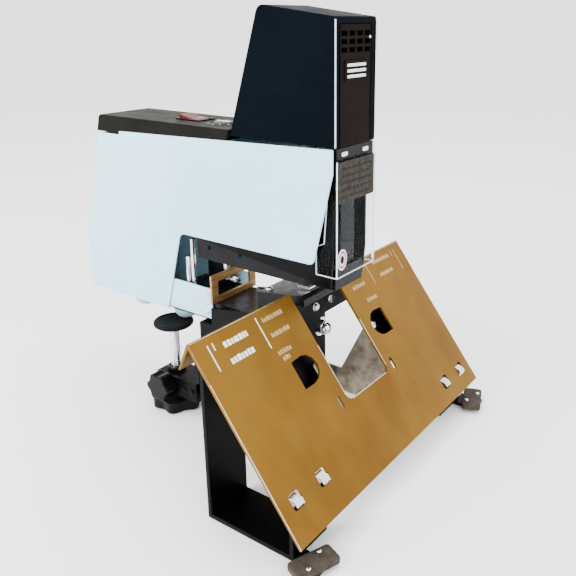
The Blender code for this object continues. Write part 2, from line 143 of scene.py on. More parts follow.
def coating(name, spec):
    # paint, moulded plastic or rubber: clouded colour, worn sheen, fine grain
    paint = Paint(name)
    cloud = paint.ramp(paint.noise(spec["cloud"]), 0.35, 0.65)
    dust = paint.ramp(paint.noise(spec["grain"] * 6, 2.0), 0.55, 0.8)
    colour = paint.blend(cloud, spec["dark"], spec["light"])
    colour = paint.blend(dust * spec["dust"], colour, spec["dustColour"])
    low, high = spec["sheen"]
    wear = paint.noise(spec["cloud"] * 0.4, 4.0)
    grain = paint.noise(spec["grain"], 2.0)
    return paint.set(BaseColor=colour, Roughness=paint.ramp(wear, 0.3, 0.7, low, high),
                     SpecularLevel=spec["specular"], Normal=paint.bump(grain, spec["relief"]))


streakShare = 0.3   # how much of the dark colour the drawn streaks bring in


def bareMetal(name, spec):
    # rolled, brushed or plated metal: drawn streaks, stains and a mottled sheen
    paint = Paint(name)
    streak = paint.noise(spec["streak"], 4.0, 0.6, spec["along"])
    stain = paint.ramp(paint.noise(spec["stain"], 4.0), 0.35, 0.7)
    colour = paint.blend(stain, spec["light"], spec["dark"])
    colour = paint.blend(streak * streakShare, colour, spec["dark"])
    low, high = spec["sheen"]
    return paint.set(BaseColor=colour, Metallic=1.0,
                     Roughness=paint.ramp(streak + stain * 0.4, 0.3, 1.0, low, high),
                     Normal=paint.bump(streak, spec["relief"]))


coatings = {
    "casingEnamel": {"light": (0.5, 0.8, 0.94), "dark": (0.41, 0.68, 0.82),
                     "dustColour": (0.5, 0.52, 0.5), "dust": 0.06, "specular": 0.25,
                     "cloud": 160.0, "grain": 0.9, "sheen": (0.3, 0.42), "relief": 0.01},
    "towerPlastic": {"light": (0.001, 0.0026, 0.005), "dark": (0.0006, 0.0016, 0.0032),
                     "dustColour": (0.012, 0.018, 0.022), "dust": 0.05, "specular": 0.015,
                     "cloud": 60.0, "grain": 0.5, "sheen": (0.42, 0.55), "relief": 0.02},
    "coverPlastic": {"light": (0.007, 0.0062, 0.0052), "dark": (0.0042, 0.0038, 0.0032),
                     "dustColour": (0.035, 0.028, 0.02), "dust": 0.2, "specular": 0.035,
                     "cloud": 45.0, "grain": 0.5, "sheen": (0.42, 0.56), "relief": 0.02},
    "frontPlastic": {"light": (0.006, 0.0032, 0.0028), "dark": (0.004, 0.002, 0.0018),
                     "dustColour": (0.02, 0.014, 0.012), "dust": 0.12, "specular": 0.02,
                     "cloud": 30.0, "grain": 0.4, "sheen": (0.4, 0.52), "relief": 0.02},
    "standEnamel": {"light": (0.0012, 0.001, 0.0014), "dark": (0.0006, 0.0006, 0.0008),
                    "dustColour": (0.012, 0.011, 0.01), "dust": 0.06, "specular": 0.06,
                    "cloud": 25.0, "grain": 1.1, "sheen": (0.3, 0.45), "relief": 0.02},
    "throatEnamel": {"light": (0.004, 0.004, 0.0058), "dark": (0.0012, 0.0012, 0.002),
                     "dustColour": (0.022, 0.016, 0.011), "dust": 0.15, "specular": 0.1,
                     "cloud": 14.0, "grain": 0.7, "sheen": (0.22, 0.42), "relief": 0.03},
    "knobPlastic": {"light": (0.003, 0.0028, 0.0036), "dark": (0.0012, 0.0012, 0.0018),
                    "dustColour": (0.014, 0.014, 0.014), "dust": 0.15, "specular": 0.1,
                    "cloud": 12.0, "grain": 0.5, "sheen": (0.25, 0.45), "relief": 0.02},
    "switchRed": {"light": (0.13, 0.01, 0.008), "dark": (0.06, 0.004, 0.004),
                  "dustColour": (0.09, 0.03, 0.02), "dust": 0.2, "specular": 0.15,
                  "cloud": 9.0, "grain": 0.5, "sheen": (0.28, 0.42), "relief": 0.01},
    "padRubber": {"light": (0.048, 0.038, 0.027), "dark": (0.024, 0.019, 0.014),
                  "dustColour": (0.075, 0.062, 0.05), "dust": 0.5, "specular": 0.15,
                  "cloud": 9.0, "grain": 0.7, "sheen": (0.62, 0.85), "relief": 0.08},
    "discRubber": {"light": (0.004, 0.004, 0.005), "dark": (0.002, 0.002, 0.002),
                   "dustColour": (0.012, 0.012, 0.012), "dust": 0.3, "specular": 0.08,
                   "cloud": 9.0, "grain": 0.7, "sheen": (0.5, 0.7), "relief": 0.05},
    "domeRubber": {"light": (0.34, 0.52, 0.62), "dark": (0.22, 0.38, 0.47),
                   "dustColour": (0.3, 0.33, 0.33), "dust": 0.2, "specular": 0.3,
                   "cloud": 8.0, "grain": 0.6, "sheen": (0.3, 0.45), "relief": 0.03},
    "whiteInk": {"light": (0.88, 0.86, 0.8), "dark": (0.66, 0.62, 0.54),
                 "dustColour": (0.5, 0.4, 0.25), "dust": 0.2, "specular": 0.5,
                 "cloud": 2.0, "grain": 0.3, "sheen": (0.45, 0.6), "relief": 0.02},
    "paleInk": {"light": (0.42, 0.3, 0.14), "dark": (0.28, 0.17, 0.06),
                "dustColour": (0.4, 0.28, 0.12), "dust": 0.3, "specular": 0.5,
                "cloud": 1.5, "grain": 0.3, "sheen": (0.4, 0.6), "relief": 0.02},
    "labelSheet": {"light": (0.034, 0.029, 0.025), "dark": (0.021, 0.018, 0.015),
                   "dustColour": (0.08, 0.08, 0.075), "dust": 0.3, "specular": 0.03,
                   "cloud": 6.0, "grain": 0.5, "sheen": (0.35, 0.5), "relief": 0.01},
    "labelInk": {"light": (0.014, 0.011, 0.01), "dark": (0.007, 0.006, 0.005),
                 "dustColour": (0.03, 0.025, 0.02), "dust": 0.2, "specular": 0.06,
                 "cloud": 2.0, "grain": 0.4, "sheen": (0.45, 0.6), "relief": 0.01},
    "ringInk": {"light": (0.8, 0.62, 0.68), "dark": (0.64, 0.45, 0.52),
                "dustColour": (0.6, 0.5, 0.5), "dust": 0.2, "specular": 0.5,
                "cloud": 2.5, "grain": 0.3, "sheen": (0.35, 0.5), "relief": 0.01},
    "badgeInk": {"light": (0.72, 0.74, 0.74), "dark": (0.52, 0.54, 0.55),
                 "dustColour": (0.4, 0.4, 0.4), "dust": 0.15, "specular": 0.5,
                 "cloud": 3.0, "grain": 0.3, "sheen": (0.3, 0.45), "relief": 0.01},
}

metals = {
    "brushedSteel": {"light": (0.62, 0.62, 0.63), "dark": (0.36, 0.36, 0.37), "stain": 18.0,
                     "streak": 3.0, "along": (0.08, 1.0, 1.0), "sheen": (0.22, 0.45), "relief": 0.01},
    "chromePlate": {"light": (0.86, 0.88, 0.9), "dark": (0.6, 0.63, 0.66), "stain": 9.0,
                    "streak": 1.5, "along": (1.0, 1.0, 0.2), "sheen": (0.05, 0.18), "relief": 0.004},
    "mottledSteel": {"light": (0.42, 0.36, 0.28), "dark": (0.16, 0.13, 0.095), "stain": 11.0,
                     "streak": 2.2, "along": (1.0, 1.0, 0.7), "sheen": (0.3, 0.6), "relief": 0.05},
    "dialSteel": {"light": (0.11, 0.1, 0.065), "dark": (0.05, 0.045, 0.026), "stain": 5.0,
                  "streak": 1.2, "along": (1.0, 0.2, 1.0), "sheen": (0.3, 0.5), "relief": 0.02},
    "cutEdge": {"light": (0.86, 0.82, 0.74), "dark": (0.55, 0.46, 0.34), "stain": 6.0,
                "streak": 1.2, "along": (1.0, 0.15, 1.0), "sheen": (0.18, 0.35), "relief": 0.01},
    "trimSilver": {"light": (0.92, 0.93, 0.94), "dark": (0.7, 0.72, 0.74), "stain": 20.0,
                   "streak": 2.0, "along": (1.0, 1.0, 0.05), "sheen": (0.15, 0.3), "relief": 0.005},
}


plateTint = {"gold": (0.200, 0.098, 0.012), "brown": (0.138, 0.060, 0.006), "olive": (0.132, 0.088, 0.016)}


def makeTablePlate():
    # yellow-passivated sheet: broad warm clouds, fine rolled grain, a faint greenish cast
    paint = Paint("tablePlate")
    broad = paint.ramp(paint.noise(70.0, 2.0, 0.5, (1.0, 1.6, 0.7)), 0.35, 0.66)
    smoke = paint.ramp(paint.noise(28.0, 5.0, 0.6), 0.42, 0.72)
    fleck = paint.ramp(paint.noise(0.9, 2.0), 0.42, 0.7)
    rolled = paint.noise(1.6, 3.0, 0.6, (1.0, 0.05, 1.0))
    colour = paint.blend(broad, plateTint["gold"], plateTint["brown"])
    colour = paint.blend(smoke * 0.35, colour, plateTint["olive"])
    colour = paint.blend(fleck * 0.16, colour, plateTint["brown"])
    sheen = paint.ramp(rolled + smoke * 0.5, 0.3, 1.1, 0.34, 0.50)
    return paint.set(BaseColor=colour, Metallic=0.68, Roughness=sheen, SpecularLevel=0.12,
                     Normal=paint.bump(rolled, 0.012))


def makeGaugePlate():
    # golden sheet with long dark lines, as a drawn strip has
    paint = Paint("gaugePlate")
    line = paint.noise(2.6, 5.0, 0.65, (1.0, 0.07, 1.0))
    dark = paint.ramp(line, 0.42, 0.66)
    colour = paint.blend(dark, (0.42, 0.25, 0.085), (0.17, 0.085, 0.025))
    return paint.set(BaseColor=colour, Metallic=0.6, Roughness=paint.ramp(line, 0.3, 0.7, 0.28, 0.5),
                     Normal=paint.bump(line, 0.02))


def makeClearSheet():
    # clear sheet with light scuffs
    paint = Paint("clearSheet")
    scuff = paint.noise(2.0, 5.0, 0.7, (1.0, 1.0, 0.15))
    colour = paint.blend(paint.ramp(scuff, 0.5, 0.8), (0.90, 0.95, 0.97), (0.78, 0.85, 0.88))
    return paint.set(BaseColor=colour, Roughness=paint.ramp(scuff, 0.4, 0.8, 0.03, 0.14),
                     TransmissionWeight=1.0, Ior=1.06, Normal=paint.bump(scuff, 0.004))


def makePaintedEdgeHighlight():
    # painted highlight: an opaque near-white finish for strips on the clear sheet's sawn edges, standing in
    # for the light they catch
    paint = Paint("sheetEdge")
    saw = paint.noise(0.8, 3.0)
    colour = paint.blend(saw, (0.80, 0.88, 0.92), (0.95, 0.98, 1.0))
    return paint.set(BaseColor=colour, Roughness=paint.ramp(saw, 0.3, 0.7, 0.15, 0.35),
                     Normal=paint.bump(saw, 0.02))


wireTurns = 7200.0   # radians of winding per metre of coil


def makeShadedCoilWinding():
    # enamelled wire laid in even turns, with painted shade darkening the colour in the grooves between turns
    paint = Paint("coilWinding")
    turn = paint.node("ShaderNodeMath", {"operation": "SINE"}, {0: paint.height() * wireTurns})
    # painted shade: darker colour in the grooves between turns
    dark = paint.ramp(turn, -1.0, 0.2)
    colour = paint.blend(dark, (0.12, 0.03, 0.012), (0.56, 0.22, 0.09))
    return paint.set(BaseColor=colour, Metallic=0.8, Roughness=paint.ramp(turn, -1.0, 1.0, 0.5, 0.28),
                     Normal=paint.bump(turn, 0.2))


def makeBoard():
    # lacquered circuit board with square copper tracks under the lacquer
    paint = Paint("boardLacquer")
    cell = paint.node("ShaderNodeTexBrick", {"offset": 0.5},
                      {"Vector": paint.place, "Scale": 220.0, "Mortar Size": 0.03}, "Fac")
    colour = paint.blend(cell, (0.02, 0.11, 0.04), (0.05, 0.22, 0.09))
    return paint.set(BaseColor=colour, Roughness=paint.ramp(paint.noise(4.0), 0.3, 0.7, 0.25, 0.4),
                     Normal=paint.bump(cell, 0.05))


def makeFloor():
    paint = Paint("paleFloor")
    mottle = paint.noise(300.0, 3.0)
    colour = paint.blend(mottle, (0.93, 0.93, 0.93), (0.96, 0.96, 0.96))
    return paint.set(BaseColor=colour, Roughness=paint.ramp(mottle, 0.3, 0.7, 0.8, 0.9))


paints = {name: coating(name, spec) for name, spec in coatings.items()}
paints.update({name: bareMetal(name, spec) for name, spec in metals.items()})
paints.update(tablePlate=makeTablePlate(), gaugePlate=makeGaugePlate(), clearSheet=makeClearSheet(),
              sheetEdge=makePaintedEdgeHighlight(), coilWinding=makeShadedCoilWinding(), boardLacquer=makeBoard())
print("materials made:", len(paints))


def finished(name, mesh, paint, body, slot=None, bevel=0.0, segments=2, angle=35.0):
    # a mesh in the frame's own metres becomes a piece that rides on a body
    mesh.materials.clear()
    mesh.materials.append(paints[paint])
    piece = bpy.data.objects.new(name, mesh)
    bpy.context.scene.collection.objects.link(piece)
    mesh.shade_smooth()
    if bevel:
        rounding = piece.modifiers.new("rounding", "BEVEL")
        rounding.width = bevel * mm
        rounding.segments = segments
        rounding.limit_method = "ANGLE"
        rounding.angle_limit = math.radians(angle)
        rounding.miter_outer = "MITER_ARC"
        weighting = piece.modifiers.new("weighting", "WEIGHTED_NORMAL")
        weighting.keep_sharp = True
    else:
        mesh.set_sharp_from_angle(angle=math.radians(angle))
    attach(piece, body)
    return piece


def made(name, bm, paint, body="machine", place=None, **look):
    # a mesh drawn in millimetres, optionally through a local placing matrix
    bmesh.ops.recalc_face_normals(bm, faces=bm.faces)
    bm.transform(toFrame @ place if place else toFrame)
    mesh = bpy.data.meshes.new(name)
    bm.to_mesh(mesh)
    bm.free()
    return finished(name, mesh, paint, body, **look)


def softened(node, name, paint, body, bevel, segments=3, angle=35.0, slot=None):
    # the CAD shape again, with its facets joined and its edges rounded as bent sheet or moulding has
    bm = bmesh.new()
    bm.from_mesh(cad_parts[node].data)
    bmesh.ops.remove_doubles(bm, verts=bm.verts, dist=0.00002)
    bmesh.ops.dissolve_limit(bm, angle_limit=math.radians(0.5), verts=bm.verts, edges=bm.edges)
    bmesh.ops.recalc_face_normals(bm, faces=bm.faces)
    mesh = bpy.data.meshes.new(name)
    bm.to_mesh(mesh)
    bm.free()
    piece = finished(name, mesh, paint, body, slot, bevel, segments, angle)
    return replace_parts(piece, node)


proud = 0.02   # gap left under a piece that lies on a face


def heightOf(node):
    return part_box(node)[1].z / mm + proud


def frontOf(node):
    return (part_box(node)[1].x - driverLine) / mm + proud


def loft(bm, outline, start, end, axis="Z"):
    order = {"X": (2, 0, 1), "Y": (0, 2, 1), "Z": (0, 1, 2)}[axis]
    rows = []
    for c in (start, end):
        rows.append([bm.verts.new([(a, b, c)[i] for i in order]) for a, b in outline])
    bm.faces.new(rows[0])
    bm.faces.new(list(reversed(rows[1])))
    for i in range(len(outline)):
        j = (i + 1) % len(outline)
        bm.faces.new((rows[0][j], rows[0][i], rows[1][i], rows[1][j]))


def block(bm, x, y, z):
    loft(bm, [(x[0], y[0]), (x[1], y[0]), (x[1], y[1]), (x[0], y[1])], z[0], z[1])


def lathe(bm, profile, sides=28, centre=(0.0, 0.0, 0.0)):
    rings = []
    for radius, height in profile:
        count = sides if radius > 0 else 1
        ring = []
        for i in range(count):
            a = 2 * math.pi * i / sides
            point = Vector((radius * math.cos(a), radius * math.sin(a), height))
            ring.append(bm.verts.new(point + Vector(centre)))
        rings.append(ring)
    for low, high in zip(rings, rings[1:]):
        for i in range(sides):
            j = (i + 1) % sides
            corners = [low[i % len(low)], low[j % len(low)], high[j % len(high)], high[i % len(high)]]
            corners = list(dict.fromkeys(corners))
            if len(corners) > 2:
                bm.faces.new(corners)


def rounded(x, y, radius, steps=4):
    points = []
    for cx, cy, start in ((x[1] - radius, y[1] - radius, 0), (x[0] + radius, y[1] - radius, 90),
                          (x[0] + radius, y[0] + radius, 180), (x[1] - radius, y[0] + radius, 270)):
        for i in range(steps + 1):
            a = math.radians(start + 90 * i / steps)
            points.append((cx + radius * math.cos(a), cy + radius * math.sin(a)))
    return points


facing = {
    "up": Matrix.Identity(4), "down": Matrix.Rotation(math.pi, 4, "X"),
    "front": Matrix.Rotation(math.pi / 2, 4, "Y"), "back": Matrix.Rotation(-math.pi / 2, 4, "Y"),
    "left": Matrix.Rotation(-math.pi / 2, 4, "X"), "right": Matrix.Rotation(math.pi / 2, 4, "X"),
}


def turnedBlock(bm, x, y, z, degrees, centre=(0.0, 0.0, 0.0)):
    # a block turned about the vertical through a centre
    part = bmesh.new()
    block(part, x, y, z)
    part.transform(Matrix.Translation(centre) @ Matrix.Rotation(math.radians(degrees), 4, "Z"))
    spare = bpy.data.meshes.new("spare")
    part.to_mesh(spare)
    part.free()
    bm.from_mesh(spare)
    bpy.data.meshes.remove(spare)


def screw(name, point, way, radius, paint="chromePlate", body="machine", head=None, slotted=False):
    # pan head with a pressed recess; its washer face lies on the surface it holds
    r = radius
    h = head or r * 0.62
    bm = bmesh.new()
    dome = [(0.0, 0.0), (r, 0.0), (r, h * 0.35), (r * 0.93, h * 0.66), (r * 0.72, h * 0.9), (r * 0.4, h)]
    lathe(bm, dome + [(r * 0.36, h), (r * 0.3, h * 0.62), (0.0, h * 0.55)], 24)
    arm, thick = r * 0.62, r * 0.09
    for degrees in (20,) if slotted else (20, 110):
        turnedBlock(bm, (-arm, arm), (-thick, thick), (h * 0.7, h * 1.02), degrees)
    place = Matrix.Translation(Vector(point)) @ (facing[way] if isinstance(way, str) else way)
    return made(name, bm, paint, body, place, slot="chrome" if paint == "chromePlate" else None)


cadPaint = {
    "standEnamel": ["base_plate", "frame_right", "frame_left", "cross_bar", "under_channel", "spacer_block",
                    "tongue_right", "tongue_left"],
    "throatEnamel": ["magazine_channel", "magazine_nose", "guard_bar", "lower_arm", "anvil_block",
                     "throat_block", "head_block"],
    "brushedSteel": ["solenoid_yoke", "armature", "driver_holder", "driver_blade", "guide_plate",
                     "frame_spacer", "staple_strip", "transformer"],
    "chromePlate": ["anvil_plate", "throat_bolt", "guide_rod", "contact_lever", "support_rod",
                    "staple_pusher"],
    "casingEnamel": ["leg_panel_right", "leg_panel_left", "rear_panel"],
    "frontPlastic": ["tower_front_panel"],
    "coilWinding": ["solenoid_coil"],
    "boardLacquer": ["control_board"],
    "gaugePlate": ["back_gauge"],
}
for paint, nodes in cadPaint.items():
    for node in nodes:
        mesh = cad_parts[node].data
        mesh.materials.clear()
        mesh.materials.append(paints[paint])

soft = [
    ("casing_right", "casingSideRight", "casingEnamel", "machine", 0.5, "casing"),
    ("casing_left", "casingSideLeft", "casingEnamel", "machine", 0.5, "casing"),
    ("rear_cover", "rearCoverMoulding", "coverPlastic", "machine", 0.9, "black_plastic"),
    ("tower_cover", "towerMoulding", "towerPlastic", "machine", 1.0, "black_plastic"),
    ("mains_inlet", "mainsInletBody", "knobPlastic", "machine", 0.5, "black_plastic"),
    ("rocker_switch", "rockerCap", "switchRed", "rocker", 0.5, "red"),
    ("strength_dial", "strengthDialKnob", "dialSteel", "dial", 0.3, "grey_steel"),
    ("finger_guard", "fingerGuardSheet", "clearSheet", "guard", 0.35, "clear"),
    ("saddle_table", "saddleTableSheet", "tablePlate", "machine", 0.22, "brass_plate"),
    ("leg_right", "standLegRight", "standEnamel", "machine", 0.7, "black_steel"),
    ("leg_left", "standLegLeft", "standEnamel", "machine", 0.7, "black_steel"),
    ("gusset_right", "gussetRight", "mottledSteel", "machine", 0.3, "grey_steel"),
    ("gusset_left", "gussetLeft", "mottledSteel", "machine", 0.3, "grey_steel"),
    ("rod_bracket", "rodBracket", "standEnamel", "machine", 1.0, "black_steel"),
    ("stabiliser_right", "swivelPadRight", "padRubber", "pad_right", 0.8, "rubber"),
    ("stabiliser_left", "swivelPadLeft", "padRubber", "pad_left", 0.8, "rubber"),
    ("disc_pad", "supportDisc", "discRubber", "support", 0.4, "rubber"),
    ("foot_knob", "footHandWheel", "knobPlastic", "foot_wheel", 1.6, "black_plastic"),
    ("lock_knob", "lockHandWheel", "knobPlastic", "lock", 1.4, "black_plastic"),
    ("foot_rear_right", "domeFootRearRight", "domeRubber", "machine", 0.4, "foot_rubber"),
    ("foot_rear_left", "domeFootRearLeft", "domeRubber", "machine", 0.4, "foot_rubber"),
    ("foot_front_right", "domeFootFrontRight", "domeRubber", "machine", 0.4, "foot_rubber"),
    ("foot_front_left", "domeFootFrontLeft", "domeRubber", "machine", 0.4, "foot_rubber"),
]
for node, name, paint, body, bevel, slot in soft:
    softened(node, name, paint, body, bevel, slot=slot)
spring = softened("return_spring", "returnSpringCoil", "brushedSteel", "machine", 0.0, slot="steel")
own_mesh(spring)
print("rounded pieces made:", len(soft) + 1)

flanks = (("Right", -1), ("Left", 1))


def across(side, first, second):
    # a span in y on one side of the middle plane, its low end first
    return sorted((side * first, side * second))


def words(start, end, shortest, longest, gap):
    # spans of uneven length that fill a row, for plain bars
    y = start
    while y < end:
        long = draw.uniform(shortest, longest)
        yield y, y + long
        y += long + gap


tower = {"front": 45.0, "low": 282.4, "strip": (28.85, 27.6), "stripTop": 376.0, "stripOut": 0.8,
         "bead": (22.3, 21.5), "beadTop": 372.4, "beadOut": 0.5}


def makeTowerTrimAndHighlight():
    front, low = tower["front"], tower["low"]
    for tag, side in flanks:
        # silver strip down each front edge of the tower: partly a trim edge, partly a painted highlight
        # standing in for the light along that edge
        bm = bmesh.new()
        depth = (front + proud, front + tower["stripOut"])
        block(bm, depth, across(side, *tower["strip"]), (low, tower["stripTop"]))
        made("towerTrimAndHighlight" + tag, bm, "trimSilver", bevel=0.25, slot="chrome")
        bm = bmesh.new()
        depth = (front + proud, front + tower["beadOut"])
        block(bm, depth, across(side, *tower["bead"]), (low, tower["beadTop"]))
        made("panelBead" + tag, bm, "towerPlastic", bevel=0.12, slot="black_plastic")


badge = {"y": (-16.0, 16.0), "z": (331.0, 346.5), "corner": 1.6, "thick": 0.7,
         "bars": 3, "firstBar": 333.4, "barStep": 4.2, "barTall": 2.2, "barSpan": (-13.0, 13.0)}
lamp = {"y": 19.0, "z": 363.0, "radius": 1.0}


def makeBadge():
    # a plain plate with equal bars in place of any name, and the small lamp above it
    front = tower["front"]
    face = front + badge["thick"]
    bm = bmesh.new()
    loft(bm, rounded(badge["y"], badge["z"], badge["corner"]), front + proud, face, "X")
    made("badgePlate", bm, "frontPlastic", bevel=0.2, slot="brown_panel")
    bm = bmesh.new()
    for k in range(badge["bars"]):
        z = badge["firstBar"] + badge["barStep"] * k
        loft(bm, rounded(badge["barSpan"], (z, z + badge["barTall"]), 1.0, 3), face + 0.01, face + 0.15, "X")
    made("badgeBars", bm, "badgeInk")
    r = lamp["radius"]
    bm = bmesh.new()
    lathe(bm, [(0.0, 0.0), (r, 0.0), (r, r * 0.6), (r * 0.7, r * 0.9), (0.0, r * 1.1)], 20)
    place = Matrix.Translation((front + proud, lamp["y"], lamp["z"])) @ facing["front"]
    made("readyLamp", bm, "whiteInk", place=place)


fixings = {"y": 15.0, "z": 276.0, "length": 8.5, "height": 3.4, "thick": 0.25, "screw": 1.5, "head": 0.24}


def makeGuardFixings():
    # thin enough for the clear guard to pass in front of them as it lifts
    face = frontOf("guard_bar")
    half, tall = fixings["length"] / 2, fixings["height"] / 2
    height = (fixings["z"] - tall, fixings["z"] + tall)
    for tag, side in flanks:
        y = side * fixings["y"]
        bm = bmesh.new()
        loft(bm, rounded((y - half, y + half), height, tall - 0.05, 6), face, face + fixings["thick"], "X")
        made("guardWasher" + tag, bm, "trimSilver", bevel=0.08, slot="chrome")
        screw("guardScrew" + tag, (face + fixings["thick"] + 0.01, y, fixings["z"]), "front",
              fixings["screw"], head=fixings["head"], slotted=True)


label = {"y": (-26.0, 25.0), "z": (238.0, 271.0), "corner": 1.2, "rows": 5, "firstRow": 264.0,
         "rowStep": 5.6, "rowTall": 2.0, "rowSpan": (-22.0, 17.0), "word": (3.5, 8.0), "gap": 1.3}
ring = {"y": -21.0, "z": 191.0, "tall": 1.35, "hole": 2.6, "outer": 6.6, "line": (4.3, 5.1)}


def washer(bm, inner, outer, low, high):
    lathe(bm, [(inner, low), (outer, low), (outer, high), (inner, high), (inner, low)], 40)


def makeGuardLabel():
    # label with rows of plain bars, and a round sticker with a plain ring
    face = frontOf("finger_guard")
    bm = bmesh.new()
    loft(bm, rounded(label["y"], label["z"], label["corner"]), face + 0.03, face + 0.16, "X")
    made("guardLabel", bm, "labelSheet", "guard")
    bm = bmesh.new()
    for row in range(label["rows"]):
        z = label["firstRow"] - label["rowStep"] * row
        for word in words(*label["rowSpan"], *label["word"], label["gap"]):
            loft(bm, rounded(word, (z, z + label["rowTall"]), 0.6, 2), face + 0.17, face + 0.24, "X")
    made("guardLabelBars", bm, "labelInk", "guard")
    centre = Matrix.Translation((face + 0.03, ring["y"], ring["z"])) @ facing["front"]
    centre = centre @ Matrix.Diagonal((ring["tall"], 1.0, 1.0, 1.0))
    bm = bmesh.new()
    washer(bm, ring["hole"], ring["outer"], 0.0, 0.14)
    bmesh.ops.remove_doubles(bm, verts=bm.verts, dist=0.001)
    made("guardRing", bm, "ringInk", "guard", centre)
    bm = bmesh.new()
    lathe(bm, [(0.0, 0.0), (ring["hole"], 0.0), (ring["hole"], 0.12), (0.0, 0.12)], 32)
    washer(bm, *ring["line"], 0.15, 0.2)
    bmesh.ops.remove_doubles(bm, verts=bm.verts, dist=0.001)
    made("guardRingCentre", bm, "labelInk", "guard", centre)


guard = {"half": 28.2, "front": frontOf("finger_guard") - proud, "low": 176.0, "high": 272.0, "lip": 0.5,
         "sheet": 1.6, "foldRadius": 0.55, "foldIn": 0.5, "foldEnd": 0.6,
         "wing": [(26.05, 176.4), (26.3, 176.4), (26.3, 200.2), (34.2, 203.6), (39.7, 271.8), (39.5, 271.8),
                  (34.0, 203.8), (26.05, 200.4)]}


def makeGuardEdgeHighlights():
    # painted highlights: opaque pale strips along the clear sheet's folds, its wings and its lower lip,
    # standing in for the light caught on its edges
    front, half, low = guard["front"], guard["half"], guard["low"]
    bottom, top = low + guard["foldEnd"], guard["high"] - guard["foldEnd"]
    r = guard["foldRadius"]
    for tag, side in flanks:
        bm = bmesh.new()
        centre = (front - guard["foldIn"], side * (half - guard["foldIn"]), 0.0)
        lathe(bm, [(0.0, bottom), (r, bottom), (r, top), (0.0, top)], 10, centre)
        made("guardFoldHighlight" + tag, bm, "sheetEdge", "guard")
        bm = bmesh.new()
        inner, outer = across(side, half, half - guard["sheet"])
        loft(bm, guard["wing"], inner + 0.1, outer - 0.1, "Y")
        made("guardWingHighlight" + tag, bm, "sheetEdge", "guard")
    height = (low, low + guard["lip"])
    bm = bmesh.new()
    block(bm, (front - 1.5, front - 0.1), (0.6 - half, half - 0.6), height)
    for tag, side in flanks:
        block(bm, (26.4, front - 1.7), across(side, half - 0.2, half - 1.4), height)
    made("guardLipHighlight", bm, "sheetEdge", "guard")


controls = {"top": 287.0, "switch": -132.0, "bezel": (15.5, 10.5), "opening": (13.8, 8.4),
            "dial": -96.0, "ticks": 9, "tickFrom": -120, "tickStep": 30, "tickSpan": (12.6, 15.6)}
pins = {"x": (-269.5, -259.2), "z": (118.5, 123.0, 118.5), "step": 6.0, "halfWide": 1.0, "halfTall": 2.2}


def around(x, halves, corner):
    return rounded((x - halves[0], x + halves[0]), (-halves[1], halves[1]), corner)


def makeControls():
    # the rocker's bezel and mark, the dial's marks and pointer, and the pins in the mains inlet
    top = controls["top"]
    bm = bmesh.new()
    loft(bm, around(controls["switch"], controls["bezel"], 1.5), top + proud, top + 1.2)
    bezel = made("switchBezel", bm, "knobPlastic", bevel=0.4, slot="black_plastic")
    bm = bmesh.new()
    loft(bm, around(controls["switch"], controls["opening"], 1.0), top - 3.0, top + 4.0)
    tool = made("bezelOpening", bm, "knobPlastic")
    opening = bezel.modifiers.new("opening", "BOOLEAN")
    opening.object = tool
    opening.solver = "EXACT"
    bezel.modifiers.move(len(bezel.modifiers) - 1, 0)
    tool.hide_render = True
    tool.hide_viewport = True
    bm = bmesh.new()
    loft(bm, rounded((-125.4, -124.2), (-2.6, 2.6), 0.4, 2), top + 1.4, top + 2.0)
    made("rockerMark", bm, "whiteInk", "rocker")
    bm = bmesh.new()
    for k in range(controls["ticks"]):
        degrees = controls["tickFrom"] + controls["tickStep"] * k
        turnedBlock(bm, controls["tickSpan"], (-0.4, 0.4), (top + proud, top + 0.12), degrees,
                    (controls["dial"], 0, 0))
    made("dialTicks", bm, "whiteInk")
    bm = bmesh.new()
    block(bm, (controls["dial"] - 8.0, controls["dial"] + 8.0), (-1.0, 1.0), (top + 1.02, top + 1.5))
    made("dialPointer", bm, "whiteInk", "dial", bevel=0.15)
    bm = bmesh.new()
    wide, tall = pins["halfWide"], pins["halfTall"]
    for k, z in enumerate(pins["z"]):
        y = pins["step"] * (k - 1)
        block(bm, pins["x"], (y - wide, y + wide), (z - tall, z + tall))
    made("inletPins", bm, "brushedSteel", bevel=0.4, slot="steel")


table = {"angle": 52.5, "ridge": 155.0, "half": 148.5, "length": 165.0, "notchHalf": 32.1, "notch": 103.1}
turn = math.radians(table["angle"])
slope = Matrix(((math.cos(turn), 0, math.sin(turn), 0), (0, 1, 0, 0),
                (-math.sin(turn), 0, math.cos(turn), table["ridge"]), (0, 0, 0, 1)))

# On the slope x is the distance down from the ridge and z the height over the sheet.
marks = {"near": ((11.0, -120.0, -95.0), (24.5, -121.0, -97.0)),
         "far": ((9.0, -74.0, -52.0), (23.0, -73.0, -51.0), (38.0, -76.0, -60.0), (43.5, -74.0, -66.0),
                 (9.0, 48.0, 72.0), (22.0, 46.0, 66.0), (38.0, 56.0, 72.0), (9.0, 92.0, 120.0),
                 (23.0, 94.0, 118.0)),
         "nearLines": ((8, 29, -134.0), (8, 14, -129.0), (6, 33, -79.5)),
         "farLines": ((7, 30, 80.5), (7, 13, 128.0), (8, 30, 134.0)), "gap": 0.9}


def stroke(bm, distance, y, lift=0.02, thick=0.09):
    block(bm, distance, y, (lift, lift + thick))


def markLines(bm, lines, half):
    for start, end, y in lines:
        stroke(bm, (start, end), (y - half, y + half))


def markRows(bm, rows, tall, jitter, shortest, longest):
    for row, start, end in rows:
        for word in words(start, end, shortest, longest, marks["gap"]):
            stroke(bm, (row + draw.uniform(-jitter, jitter), row + tall), word)


def makeTableMarks():
    # gauge lines and rows of plain bars
    bm = bmesh.new()
    markLines(bm, marks["nearLines"], 0.55)
    markRows(bm, marks["near"], 4.6, 0.3, 1.6, 4.2)
    made("gaugeLines", bm, "whiteInk", place=slope)
    bm = bmesh.new()
    markRows(bm, marks["far"], 3.4, 0.4, 1.0, 3.2)
    markLines(bm, marks["farLines"], 0.45)
    made("sizeBars", bm, "paleInk", place=slope)


